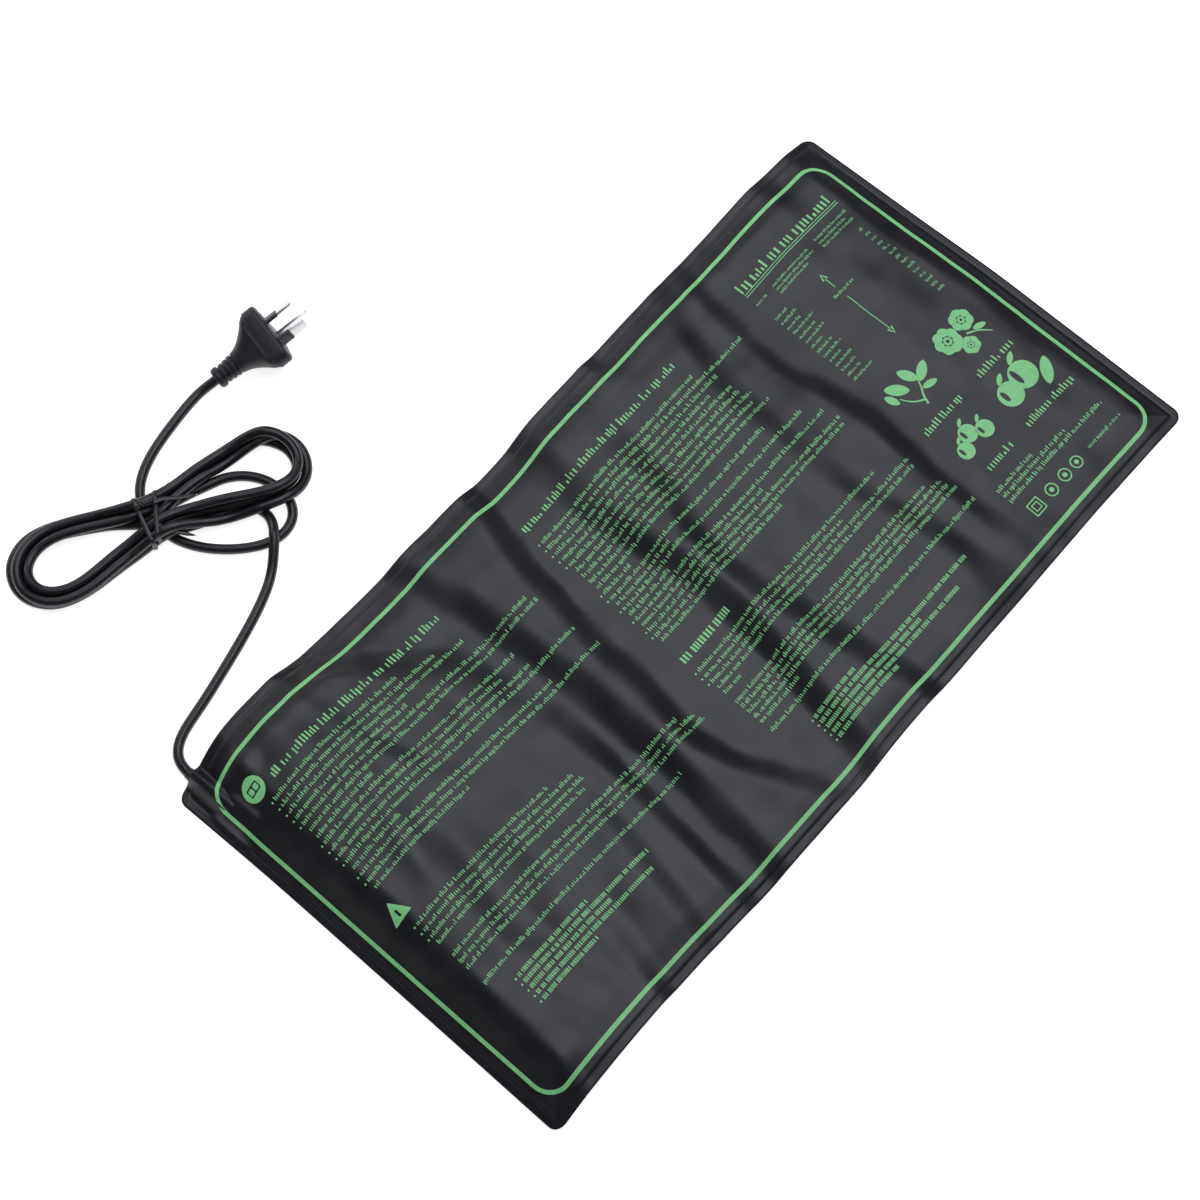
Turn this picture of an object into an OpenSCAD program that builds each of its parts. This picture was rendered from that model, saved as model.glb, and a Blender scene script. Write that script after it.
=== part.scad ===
// Seedling heat mat: two PVC sheets welded round the edge, a printed carbon heater on foam between
// them, a two-core lead folded into a tied hank, and a moulded three-pin plug.
// Millimetres, Z up. The origin is the middle of the mat's underside, on the standing surface.
// The lead leaves through the long edge on the +Y side, near the -X end.

/* [Mat] */
// Length of the mat as it lies, in gentle folds
mat_l = 504; // [490:1:520]
// Width of the mat
mat_w = 260; // [254:1:264]
// Radius of the mat's corners
corner_r = 6; // [3:1:10]
// Width of the flat welded band round the edge
weld_w = 6; // [5:0.5:7]
// Thickness of each PVC sheet
sheet_t = 0.6; // [0.4:0.1:0.8]
// Height of the folds: 1 is as the mat lies after packing, 0 is flat
fold_scale = 1; // [0:0.1:1.2]

/* [Heater] */
// Thickness of the insulating foam
foam_t = 2; // [1.5:0.1:2.5]
// Thickness of each heater film
film_t = 0.25; // [0.2:0.05:0.3]
// Thickness of the carbon strips and of the bus bars
ink_t = 0.15; // [0.1:0.05:0.2]
// Number of carbon strips
strip_count = 24; // [12:1:28]
// Width of one carbon strip
strip_w = 12; // [8:1:14]
// Width of a copper bus bar
bus_w = 8; // [6:1:9]
// Diameter of the insulated leads from the junction block to the bus bars
core_d = 1.4; // [1:0.1:1.6]

/* [Printed border] */
// Width of the printed line
border_w = 2.2; // [1.5:0.1:3]
// Distance of the line from the mat's edge
border_inset = 9; // [8:0.5:12]

/* [Cord] */
// Outer diameter of the round two-core cord
cord_d = 5.6; // [5:0.1:6]
// How far the cord's boot stands out of the mat
boot_out = 4; // [3:0.5:6]
// Height of the hank
hank_h = 16; // [12:1:17]

/* [Plug] */
// Widest measure of the flange
flange_w = 36.5; // [36:0.5:38]
// Thickness of the flange
flange_t = 9; // [8:0.5:10]
// Length of the whole moulding, collar to face
plug_l = 40.5; // [39:0.5:42]
// Length of the active and neutral pins in front of the face
pin_l = 17; // [16:0.5:18]
// Length of the earth pin in front of the face
earth_l = 20; // [19:0.5:21]
// Width of a pin
pin_w = 6.3; // [6:0.1:6.5]
// Thickness of a pin
pin_t = 1.6; // [1.5:0.1:1.7]
// Distance between the centres of the active and neutral pins
pin_gap = 13.7; // [13.5:0.1:14]
// Length of the insulating sleeve on the active and neutral pins
sleeve_l = 7.5; // [7:0.5:9]

/* [Hidden] */
$fn = 48;

black = [0.09, 0.09, 0.10];
green = [0.25, 0.62, 0.32];
copper = [0.72, 0.45, 0.30];
steel = [0.75, 0.75, 0.76];

// ---- Folds: middle x, height, half-width towards -X, half-width towards +X
folds = [[-206, 13, 30, 70], [-68, 6, 26, 30], [20, 5, 30, 30], [128, 4, 28, 26],
         [215, 6, 40, 34]];
step = 5;

// ---- Heights of the layers above the folded underside
foam_z = sheet_t;
base_z = foam_z + foam_t;
ink_z = base_z + film_t;
cover_z = ink_z + ink_t;
under_z = cover_z + film_t;
top_z = under_z + sheet_t;

// ---- The top sheet stands higher over the terminals at the -X end
lift_h = 2.4;
lift_from = -218;
lift_to = -206;

// ---- Heater outline, from the -X end to the +X end
stack_x0 = -228;
stack_x1 = 238;
cover_x0 = -214;
stack_w = 234;
bus_y = 109;
terminal_x = -222;
rivet_r = 1.2;
rivet_head_r = 2.4;

// ---- Cord entry: boot and junction block, side by side under a ridge in the top sheet
entry_x = -mat_l / 2 + 12;
boot_r = 3.2;
boot_z = sheet_t + boot_r;
boot_in = 27;
boot_y0 = mat_w / 2 - boot_in;
boot_y1 = mat_w / 2 + boot_out;
ridge_gap = 0.05;
block_w = 7.6;
block_l = 14;
block_h = 4.8;

// ---- Plug placing: centre of the face, then roll, pitch and yaw of its axis
plug_at = [-35.8, 264.4, 16.6];
plug_roll = 10;
plug_pitch = 15;
plug_yaw = -13.8;
live_z = 4.1;
earth_z = -6.2;
pin_root = 9;
insert_d = 10;
collar_r = 6;
neck_x = -27;
neck_r = 6.4;
core_r = 1.1;

function unit(v) = v / norm(v);
plug_axis = [cos(plug_pitch) * cos(plug_yaw), cos(plug_pitch) * sin(plug_yaw), sin(plug_pitch)];
plug_rear = plug_at - plug_l * plug_axis;

// ---- Route of the cord that isn't in the hank: out of the boot, and from the hank to the plug
lead_route = [[entry_x, boot_y1, boot_z], [-239.2, 139.4, 3.5], [-236.8, 144.2, 3.1],
              [-232.8, 147.9, 2.8], [-227.4, 150.2, 2.8], [-220.6, 151.6, 2.8],
              [-212.5, 153, 2.8], [-201.4, 155.6, 2.8], [-189.4, 158.3, 2.8], [-177, 161.2, 2.8],
              [-165, 164.3, 2.8], [-153, 168, 2.8], [-142, 172, 2.8], [-132.5, 177, 2.8],
              [-125.6, 182.8, 2.8]];
tail_route = concat([[-149.8, 257, 2.8], [-144.4, 262.8, 2.8], [-137.5, 266.9, 2.8],
                     [-129.5, 270.2, 2.8], [-120, 272.6, 2.8], [-110, 274.2, 2.8],
                     [-99, 275.6, 2.8]], [plug_rear - 12 * plug_axis, plug_rear]);

// ---- Hank: middle of the pinch, and the two ends
pinch_at = [-153, 243];
pinch_r = 12;
left_at = [-208, 261];
left_r = 24;
right_at = [-92.5, 219.5];
right_r = 22.5;
loop_at = [-112.5, 203];
loop_r = 19.5;
hank_angle = -20;
tie_w = 2.4;
tie_t = 1.2;
tie_groove = 1.3;

// ================================================================ shared shapes

function rise(x, f) = let (w = x < f[0] ? f[2] : f[3], u = min(abs(x - f[0]) / w, 1))
    f[1] * (0.5 + 0.5 * cos(180 * u));
function fold_h(x) = fold_scale * ([for (f = folds) rise(x, f)] * [for (f = folds) 1]);
function lift(x) = let (u = min(max((x - lift_from) / (lift_to - lift_from), 0), 1))
    lift_h * (0.5 + 0.5 * cos(180 * u));
function height(x) = fold_h(x) + lift(x);
function bends(x) = abs(height(x - step) - height(x)) + abs(height(x + step) - height(x)) > 0;

grid = [for (x = [-mat_l / 2 + step : step : mat_l / 2 - step]) if (bends(x)) x];
stations = concat([-mat_l / 2 - 1], grid, [mat_l / 2 + 1]);

// A sheet that follows the folds between two heights; raised ends add the lift over the terminals
module layer(z0, z1, raised0 = 0, raised1 = 0) {
    last = len(stations) - 1;
    low = [for (x = stations) [x, fold_h(x) + z0 + raised0 * lift(x)]];
    high = [for (i = [last : -1 : 0]) let (x = stations[i]) [x, fold_h(x) + z1 + raised1 * lift(x)]];
    rotate([90, 0, 0]) linear_extrude(height = mat_w + 4, center = true) polygon(concat(low, high));
}

module rounded(l, w, r) {
    square([l - 2 * r, w], center = true);
    square([l, w - 2 * r], center = true);
    for (x = [-1, 1], y = [-1, 1]) translate([x * (l / 2 - r), y * (w / 2 - r)]) circle(r = r);
}

module prism(h = 40) {
    translate([0, 0, -5]) linear_extrude(height = h) children();
}

module inset_outline(d, r) {
    rounded(mat_l - 2 * d, mat_w - 2 * d, r);
}

module span(x0, x1, w) {
    translate([x0, -w / 2]) square([x1 - x0, w]);
}

module terminals(r) {
    for (y = [-1, 1]) translate([terminal_x, y * bus_y]) circle(r = r);
}

// A round tube along a route, one ring at each point
function heading(p, i) = unit((i > 0 ? unit(p[i] - p[i - 1]) : [0, 0, 0])
    + (i < len(p) - 1 ? unit(p[i + 1] - p[i]) : [0, 0, 0]));
function ring(p, i, r, n) = let (t = heading(p, i), s = unit(cross(t, [0, 0, 1])), u = cross(s, t))
    [for (k = [0 : n - 1]) p[i] + r * (cos(360 * (k + 0.5) / n) * s + sin(360 * (k + 0.5) / n) * u)];

module tube(p, r, n = 8) {
    m = len(p);
    points = [for (i = [0 : m - 1]) each ring(p, i, r, n)];
    sides = [for (i = [0 : m - 2], k = [0 : n - 1]) let (a = i * n + k, b = i * n + (k + 1) % n)
             each [[a, b, b + n], [a, b + n, a + n]]];
    caps = [[for (k = [n - 1 : -1 : 0]) k], [for (k = [0 : n - 1]) (m - 1) * n + k]];
    polyhedron(points = points, faces = concat(caps, sides), convexity = 6);
}

module along_y(y0, y1) {
    translate([entry_x, y0, boot_z]) rotate([-90, 0, 0]) children();
}

module in_plug() {
    translate(plug_at) rotate([plug_roll, -plug_pitch, plug_yaw]) children();
}

// ================================================================ mat

module bottom_sheet() {
    color(black) intersection() {
        layer(0, sheet_t);
        prism() inset_outline(0, corner_r);
    }
}

module insulation_foam() {
    color([0.85, 0.85, 0.82]) intersection() {
        layer(foam_z, base_z);
        prism() span(stack_x0, stack_x1 + 2, stack_w + 2);
    }
}

module heater_base_film() {
    color([0.80, 0.72, 0.50]) intersection() {
        layer(base_z, ink_z);
        prism() difference() {
            span(stack_x0, stack_x1, stack_w);
            terminals(rivet_r);
        }
    }
}

module carbon_strips() {
    first = cover_x0 + 8;
    pitch = (stack_x1 - 8 - strip_w - first) / (strip_count - 1);
    color([0.16, 0.16, 0.17]) intersection() {
        layer(ink_z, cover_z);
        prism() for (i = [0 : strip_count - 1])
            span(first + i * pitch, first + i * pitch + strip_w, 2 * bus_y - bus_w);
    }
}

module bus_bars() {
    color(copper) intersection() {
        layer(ink_z, cover_z);
        prism() difference() {
            for (y = [-1, 1]) translate([0, y * bus_y]) span(stack_x0 + 1, stack_x1 - 4, bus_w);
            terminals(rivet_r);
        }
    }
}

module heater_cover_film() {
    color([0.86, 0.80, 0.62]) intersection() {
        layer(cover_z, under_z);
        prism() span(cover_x0, stack_x1, stack_w);
    }
}

module terminal_rivets() {
    color(steel) union() {
        intersection() {
            layer(base_z, cover_z);
            prism() terminals(rivet_r);
        }
        intersection() {
            layer(cover_z, under_z);
            prism() terminals(rivet_head_r);
        }
    }
}

// A lead rises from beside the stack onto the rivet head at y
function climb(y) = [[-233, y, fold_h(-233) + 2.2], [-231, y, fold_h(-231) + 2.9],
                     [-228, y, fold_h(-228) + 4.2],
                     [terminal_x, y, fold_h(terminal_x) + under_z + core_d / 2 + 0.2]];

module live_lead() {
    y0 = boot_y0 - block_l / 2;
    start = [entry_x + block_w / 2, y0 + 3, 2];
    color([0.45, 0.28, 0.16]) tube(concat([start], [[-234, bus_y - 5, 2]], climb(bus_y)), core_d / 2);
}

module neutral_lead() {
    x = entry_x + 2;
    y0 = boot_y0 - block_l;
    color([0.20, 0.36, 0.66])
        tube(concat([[x, y0, 1.8], [x, 0, 1.8], [x, 8 - bus_y, 1.8], [x + 1, 3 - bus_y, 1.8]],
                    climb(-bus_y)), core_d / 2);
}

module junction_block() {
    color(black) translate([entry_x - block_w / 2, boot_y0 - block_l, sheet_t])
        cube([block_w, block_l, block_h]);
}

module cord_boot() {
    color(black) union() {
        along_y(boot_y0) cylinder(r = boot_r, h = boot_in);
        along_y(mat_w / 2) cylinder(r1 = boot_r, r2 = cord_d / 2 + 0.1, h = boot_out);
    }
}

// A round-topped ridge over the cord's axis that stands on height z0
module ridge(r, y0, y1, z0) {
    intersection() {
        union() {
            along_y(y0) cylinder(r = r, h = y1 - y0);
            translate([entry_x - r, y0, z0]) cube([2 * r, y1 - y0, boot_z - z0]);
        }
        translate([entry_x - 2 * r, y0 - 1, z0]) cube([4 * r, y1 - y0 + 2, 4 * r]);
    }
}

module top_sheet() {
    ridge_r = boot_r + ridge_gap + sheet_t;
    color(black) difference() {
        union() {
            intersection() {
                layer(sheet_t, 2 * sheet_t);
                prism() inset_outline(0, corner_r);
            }
            intersection() {
                layer(sheet_t, top_z, 0, 1);
                prism() inset_outline(weld_w, corner_r + 4);
            }
            ridge(ridge_r, boot_y0 - sheet_t, mat_w / 2, sheet_t);
        }
        intersection() {
            layer(-1, under_z, 0, 1);
            prism() inset_outline(weld_w + sheet_t, corner_r + 4 - sheet_t);
        }
        ridge(boot_r + ridge_gap, boot_y0, mat_w / 2 + 1, 0);
    }
}

// The printed line isn't central: it stands further from the +X end and from the +Y edge
module border_outline(d) {
    translate([-1.3, -2.1])
        rounded(mat_l - 2 * border_inset - 2.6 - 2 * d, mat_w - 2 * border_inset - 7 - 2 * d, 14 - d);
}

module printed_border() {
    color(green) difference() {
        intersection() {
            layer(top_z, top_z + 0.1, 1, 1);
            prism() difference() {
                border_outline(0);
                border_outline(border_w);
            }
        }
        translate([entry_x - 5, mat_w / 2 - 30, 0]) cube([10, 30, 20]);
    }
}

// ================================================================ cord

module cord_lead() {
    color(black) tube(lead_route, cord_d / 2);
}

module cord_tail() {
    color(black) tube(tail_route, cord_d / 2);
}

// A flat-ended stub of the hank that meets a free stretch end to end
module stub(at, towards) {
    d = towards - at;
    translate([at[0], at[1]]) rotate(atan2(d[1], d[0])) translate([0, -cord_d / 2])
        square([14, cord_d]);
}

module hank_outline() {
    hull() {
        translate(left_at) circle(r = left_r);
        translate(pinch_at) circle(r = pinch_r);
    }
    hull() {
        translate(pinch_at) circle(r = pinch_r);
        translate(right_at) circle(r = right_r);
        translate(loop_at) circle(r = loop_r);
    }
    last = len(lead_route) - 1;
    stub(lead_route[last], 2 * lead_route[last] - lead_route[last - 1]);
    stub(tail_route[0], 2 * tail_route[0] - tail_route[1]);
}

module tie_band(w, over) {
    translate([pinch_at[0], pinch_at[1], 0]) rotate(hank_angle) difference() {
        translate([-w / 2, -pinch_r - over, -over])
            cube([w, 2 * (pinch_r + over), hank_h + 2 * over]);
        translate([-w, -pinch_r + tie_groove, tie_groove])
            cube([2 * w, 2 * (pinch_r - tie_groove), hank_h - 2 * tie_groove]);
    }
}

module cord_hank() {
    color(black) difference() {
        linear_extrude(height = hank_h) hank_outline();
        tie_band(3, 1);
    }
}

module tie_wire() {
    knot_z = hank_h - tie_groove;
    p = [pinch_at[0], pinch_at[1], hank_h + 1.5];
    color(black) {
        tie_band(tie_w, tie_t - tie_groove);
        translate([p[0], p[1], knot_z + 0.1]) cylinder(r = 1.1, h = 3.4);
        tube([p, p + [7, -2, 0.4], p + [15, -6, 0.5], p + [23, -11, 0.2]], 0.8);
        tube([p, p + [2, -7, 0.4], p + [4, -15, 0.5], p + [7, -25, 0.2]], 0.8);
    }
}

// ================================================================ plug, along its own +X axis

module flange_outline() {
    hull() {
        for (y = [-1, 1]) translate([y * (flange_w / 2 - 6.5), 4]) circle(r = 6.5, $fn = 32);
        translate([0, -6.5]) circle(r = 8.5, $fn = 32);
    }
}

// Stands a drawing of the Y-Z plane upright and extrudes it along +X
module along_x(x0, x1) {
    translate([x0, 0, 0]) rotate([90, 0, 90]) linear_extrude(height = x1 - x0) children();
}

module turned_x(profile) {
    rotate([0, 90, 0]) rotate_extrude() polygon(profile);
}

// Concave flare between the round neck and the flange, in stacked slices
module flare() {
    slices = 6;
    x1 = -flange_t;
    span_x = x1 - neck_x;
    for (i = [0 : slices - 1]) {
        u = (i + 1) / slices;
        k = 1 - sqrt(1 - u * u * 0.999);
        s = (neck_r + (flange_w / 2 - 1 - neck_r) * k) / (flange_w / 2);
        translate([neck_x + span_x * i / slices, 0, 0]) along_x(0, span_x / slices)
            if (k < 0.2) circle(r = s * flange_w / 2); else scale(s) flange_outline();
    }
}

module blade(side) {
    translate([0, side * pin_gap / 2, live_z]) rotate([side * 30, 0, 0]) children();
}

module pin(x0, x1, w, t) {
    translate([0, 0, -w / 2]) rotate([90, 0, 0]) linear_extrude(height = t, center = true)
        polygon([[x0, 0], [x1 - 1.5, 0], [x1, 1], [x1, w - 1], [x1 - 1.5, w], [x0, w]]);
}

module sleeve() {
    difference() {
        translate([0, -pin_t / 2 - 0.4, -pin_w / 2 - 0.4]) cube([sleeve_l, pin_t + 0.8, pin_w + 0.8]);
        pin(-1, pin_l, pin_w, pin_t);
    }
}

module insert_block() {
    along_x(-insert_d, 0) translate([0, -1]) rounded(23, 20, 4);
}

module core(side) {
    tube([[-38, side * 1.4, 0], [-30, side * 1.6, 0.2], [-20, side * 4, 2],
          [-insert_d, side * pin_gap / 2, live_z]], core_r);
}

module plug_body() {
    color(black) in_plug() difference() {
        union() {
            turned_x([[0, -plug_l], [collar_r - 1, -plug_l], [collar_r, -plug_l + 1],
                      [collar_r, -plug_l + 4], [4.4, -plug_l + 4.5], [4.4, -35], [5.5, -35], [5.6, -33.4],
                      [4.4, -33.4], [4.4, -32.4], [5.9, -32.4], [6, -30.6], [4.4, -30.6],
                      [4.4, -29.6], [6.2, -29.6], [neck_r, neck_x], [0, neck_x]]);
            flare();
            along_x(-flange_t, 0) flange_outline();
        }
        insert_block();
        for (side = [-1, 1]) core(side);
    }
}

module plug_insert() {
    color([0.14, 0.14, 0.15]) in_plug() difference() {
        insert_block();
        for (side = [-1, 1]) blade(side) pin(-pin_root, pin_l, pin_w, pin_t);
        translate([0, 0, earth_z]) pin(-pin_root, earth_l, pin_w, pin_t);
    }
}

module pin_active() {
    color(steel) in_plug() blade(1) pin(-pin_root, pin_l, pin_w, pin_t);
}

module pin_neutral() {
    color(steel) in_plug() blade(-1) pin(-pin_root, pin_l, pin_w, pin_t);
}

module pin_earth() {
    color(steel) in_plug() translate([0, 0, earth_z]) pin(-pin_root, earth_l, pin_w, pin_t);
}

module sleeve_active() {
    color(black) in_plug() blade(1) sleeve();
}

module sleeve_neutral() {
    color(black) in_plug() blade(-1) sleeve();
}

module plug_core_active() {
    color([0.45, 0.28, 0.16]) in_plug() core(1);
}

module plug_core_neutral() {
    color([0.20, 0.36, 0.66]) in_plug() core(-1);
}

bottom_sheet();
insulation_foam();
heater_base_film();
carbon_strips();
bus_bars();
heater_cover_film();
terminal_rivets();
live_lead();
neutral_lead();
junction_block();
cord_boot();
top_sheet();
printed_border();
cord_lead();
cord_hank();
cord_tail();
tie_wire();
plug_body();
plug_insert();
pin_active();
pin_neutral();
pin_earth();
sleeve_active();
sleeve_neutral();
plug_core_active();
plug_core_neutral();
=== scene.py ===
"""The looks of the seedling heat mat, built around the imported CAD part, in metres and in its frame."""

from math import cos, pi, radians, sin

import bpy
import numpy as np
from mathutils import Matrix, Vector


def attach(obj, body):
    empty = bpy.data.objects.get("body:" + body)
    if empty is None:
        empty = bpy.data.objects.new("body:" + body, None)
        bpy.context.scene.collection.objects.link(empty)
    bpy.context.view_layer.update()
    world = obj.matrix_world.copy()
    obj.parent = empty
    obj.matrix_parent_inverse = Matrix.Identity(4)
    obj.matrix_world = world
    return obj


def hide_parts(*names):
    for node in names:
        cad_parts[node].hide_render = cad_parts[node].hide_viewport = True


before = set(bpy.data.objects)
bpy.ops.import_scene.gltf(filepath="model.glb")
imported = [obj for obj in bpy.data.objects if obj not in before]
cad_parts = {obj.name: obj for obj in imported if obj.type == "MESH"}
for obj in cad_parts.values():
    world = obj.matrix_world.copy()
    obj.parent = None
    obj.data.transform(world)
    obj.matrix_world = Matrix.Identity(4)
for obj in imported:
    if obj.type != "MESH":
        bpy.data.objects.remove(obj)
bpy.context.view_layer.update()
MM = 0.001


# ======== camera, lights, floor

def look(target, azimuth, elevation, roll, distance):
    """A camera matrix: azimuth 0 looks along +Y, elevation is above the horizon, in degrees."""
    a, e = radians(azimuth), radians(elevation)
    back = Vector((sin(a) * cos(e), -cos(a) * cos(e), sin(e)))
    turn = (-back).to_track_quat("-Z", "Y").to_matrix().to_4x4()
    spin = Matrix.Rotation(radians(roll), 4, "Z")
    return Matrix.Translation(Vector(target) + back * distance) @ turn @ spin


def add(name, data):
    """A new object in the scene."""
    obj = bpy.data.objects.new(name, data)
    bpy.context.collection.objects.link(obj)
    return obj


def set_inputs(node, values):
    """Sets a node's own inputs by their names."""
    for name, value in values.items():
        node.inputs[name].default_value = value
    return node


def make_camera():
    data = bpy.data.cameras.new("camera")
    data.lens, data.sensor_width = 72.9, 36
    camera = add("camera", data)
    camera.matrix_world = look((-0.032, 0.037, 0), -47.16, 70.99, -1.90, 1.2687)
    bpy.context.scene.camera = camera


def area_light(name, place, aim, size, watts, tint=(1, 1, 1)):
    data = bpy.data.lights.new(name, "AREA")
    data.shape, data.size, data.size_y = "RECTANGLE", size[0], size[1]
    data.energy, data.color = watts, tint
    light = add(name, data)
    light.location = place
    light.rotation_euler = (Vector(aim) - Vector(place)).to_track_quat("-Z", "Y").to_euler()


def make_world(strength):
    world = bpy.data.worlds.new("studio")
    world.use_nodes = True
    set_inputs(world.node_tree.nodes["Background"], {"Color": (0.8, 0.85, 1, 1), "Strength": strength})
    bpy.context.scene.world = world


def make_floor():
    corners = [(-40, -40, 0), (40, -40, 0), (40, 40, 0), (-40, 40, 0)]
    mesh = bpy.data.meshes.new("floor")
    mesh.from_pydata(corners, [], [(0, 1, 2, 3)])
    mat = bpy.data.materials.new("white_floor")
    mat.use_nodes = True
    set_inputs(mat.node_tree.nodes["Principled BSDF"], {
        "Base Color": (0.9, 0.9, 0.9, 1), "Roughness": 0.9, "Specular IOR Level": 0.1,
        "Emission Color": (1, 1, 1, 1), "Emission Strength": 0.80})
    mesh.materials.append(mat)
    add("floor", mesh)


make_camera()
make_floor()
make_world(0.10)
area_light("softbox", (0.44, 0.1, 1.5), (0.44, 0.1, 0), (1.32, 1.6), 16.5, (0.89, 0.91, 1))
area_light("fill_far", (0.2, 1.7, 0.9), (-0.1, 0.1, 0), (1.6, 0.5), 7)
bpy.context.scene.view_settings.view_transform = "Standard"


# ======== materials

def material(name, dark, light, rough, grain, bump=1e-5, metallic=0.0, stretch=(1, 1, 1)):
    """A procedural finish: colour and roughness drift over a noise of that grain (per metre)."""
    mat = bpy.data.materials.new(name)
    mat.use_nodes = True
    nodes, links = mat.node_tree.nodes, mat.node_tree.links

    def node(kind, values=None):
        return set_inputs(nodes.new("ShaderNode" + kind), values or {})

    def link(source, output, target, name):
        links.new(source.outputs[output], target.inputs[name])

    shader = set_inputs(nodes["Principled BSDF"], {"Metallic": metallic})
    place = node("TexCoord")
    scale = node("Mapping", {"Scale": stretch})
    link(place, "Object", scale, "Vector")
    broad = node("TexNoise", {"Scale": grain, "Detail": 5})
    link(scale, "Vector", broad, "Vector")
    ramp = node("ValToRGB")
    for end, position, colour in zip(ramp.color_ramp.elements, (0.3, 0.7), (dark, light)):
        end.position = position
        end.color = (*colour, 1)
    link(broad, "Fac", ramp, "Fac")
    link(ramp, "Color", shader, "Base Color")
    drift = node("MapRange", {"From Min": 0.3, "From Max": 0.7, "To Min": rough[0], "To Max": rough[1]})
    link(broad, "Fac", drift, "Value")
    link(drift, "Result", shader, "Roughness")
    fine = node("TexNoise", {"Scale": grain * 9, "Detail": 3})
    link(scale, "Vector", fine, "Vector")
    lift = node("Bump", {"Strength": 0.4, "Distance": bump})
    link(fine, "Fac", lift, "Height")
    link(lift, "Normal", shader, "Normal")
    return mat


PVC = material("black_pvc_sheet", (0.0075, 0.0075, 0.009), (0.011, 0.011, 0.013), (0.38, 0.45), 60, 3e-5)
INK = material("green_ink", (0.25, 0.73, 0.27), (0.31, 0.82, 0.33), (0.42, 0.55), 300, 2e-5)
JACKET = material("cord_jacket", (0.008, 0.008, 0.009), (0.014, 0.014, 0.016), (0.28, 0.40), 220, 2e-5)
MOULDED = material("plug_moulding", (0.014, 0.015, 0.017), (0.022, 0.023, 0.026), (0.42, 0.55), 240, 5e-5)
INSERT = material("plug_insert", (0.02, 0.021, 0.024), (0.03, 0.031, 0.034), (0.35, 0.5), 200, 3e-5)
BLADE = material("nickel_pin", (0.72, 0.71, 0.70), (0.86, 0.85, 0.84), (0.30, 0.42), 260,
                 metallic=0.75, stretch=(1, 6, 6))
SLEEVE = material("pin_sleeve", (0.016, 0.017, 0.02), (0.03, 0.03, 0.034), (0.35, 0.48), 300, 2e-5)
TIE = material("twist_tie", (0.012, 0.012, 0.013), (0.03, 0.03, 0.032), (0.25, 0.38), 400, 4e-5)
WIRE = material("tie_wire_end", (0.5, 0.5, 0.5), (0.75, 0.75, 0.75), (0.2, 0.35), 500,
                metallic=1.0)
BLOCK = material("junction_moulding", (0.012, 0.012, 0.013), (0.02, 0.02, 0.022), (0.4, 0.55), 200, 4e-5)
FOAM = material("foam", (0.62, 0.61, 0.57), (0.80, 0.79, 0.75), (0.8, 0.95), 500, 2e-4)
BASE_FILM = material("heater_base_film", (0.52, 0.42, 0.22), (0.66, 0.55, 0.32), (0.2, 0.3), 90)
COVER_FILM = material("heater_cover_film", (0.60, 0.52, 0.34), (0.72, 0.64, 0.46), (0.18, 0.3), 90)
CARBON = material("carbon_ink", (0.012, 0.012, 0.013), (0.035, 0.035, 0.037), (0.5, 0.7), 700, 2e-5)
COPPER = material("copper_foil", (0.66, 0.33, 0.19), (0.82, 0.46, 0.30), (0.25, 0.4), 300,
                  metallic=1.0, stretch=(1, 8, 8))
RIVET = material("rivet_metal", (0.55, 0.54, 0.52), (0.74, 0.73, 0.71), (0.25, 0.4), 600,
                 metallic=1.0)
BROWN = material("core_brown", (0.13, 0.055, 0.025), (0.19, 0.085, 0.04), (0.35, 0.5), 300)
BLUE = material("core_blue", (0.02, 0.09, 0.32), (0.035, 0.13, 0.42), (0.35, 0.5), 300)


# ======== mesh helpers, in millimetres

def piece(name, points, faces, mat, slot, stands_for=(), smooth=True):
    """A mesh in the scene, from points in millimetres; it stands for the CAD nodes that are named."""
    mesh = bpy.data.meshes.new(name)
    mesh.from_pydata((np.asarray(points, float) * MM).tolist(), [], faces)
    mesh.validate()
    mesh.polygons.foreach_set("use_smooth", [smooth] * len(mesh.polygons))
    mesh.materials.append(mat)
    return dress(add(name, mesh), stands_for)


def dress(obj, stands_for=()):
    """Ties a piece to its body and the CAD nodes it stands for."""
    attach(obj, "root")
    if stands_for:
        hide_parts(*stands_for)
    return obj


def join(parts):
    """Points and faces of several meshes as one."""
    points, faces, base = [], [], 0
    for p, f in parts:
        points.extend(map(tuple, p))
        faces.extend([tuple(i + base for i in face) for face in f])
        base += len(p)
    return points, faces


def grid_faces(rows, cols, start=0, flip=False, wrap=False):
    """Quads over a grid of points stored row by row."""
    faces = []
    for i in range(rows - 1):
        for j in range(cols if wrap else cols - 1):
            a, b = start + i * cols + j, start + i * cols + (j + 1) % cols
            quad = (a, b, b + cols, a + cols)
            faces.append(quad[::-1] if flip else quad)
    return faces


def loft(rings, flip=False):
    """A closed skin through rings of equally many points, with an end cap on each."""
    n = len(rings[0])
    points = [tuple(p) for ring in rings for p in ring]
    faces = grid_faces(len(rings), n, wrap=True, flip=flip)
    first, last = tuple(range(n)), tuple(range(len(points) - n, len(points)))
    faces += [last, first[::-1]] if not flip else [last[::-1], first]
    return points, faces


def unit(v):
    return v / np.linalg.norm(v, axis=-1, keepdims=True)


def around(n):
    """Unit vectors at n even turns round a circle."""
    a = np.linspace(0, 2 * pi, n, endpoint=False)
    return np.column_stack([np.cos(a), np.sin(a)])


def wrapped(centres, radii, n):
    """The line that a band takes round circles, as n points with their outward directions."""
    out = around(n)
    pick = np.argmax(centres @ out.T + radii[:, None], axis=0)
    return centres[pick] + radii[pick][:, None] * out, out


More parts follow.
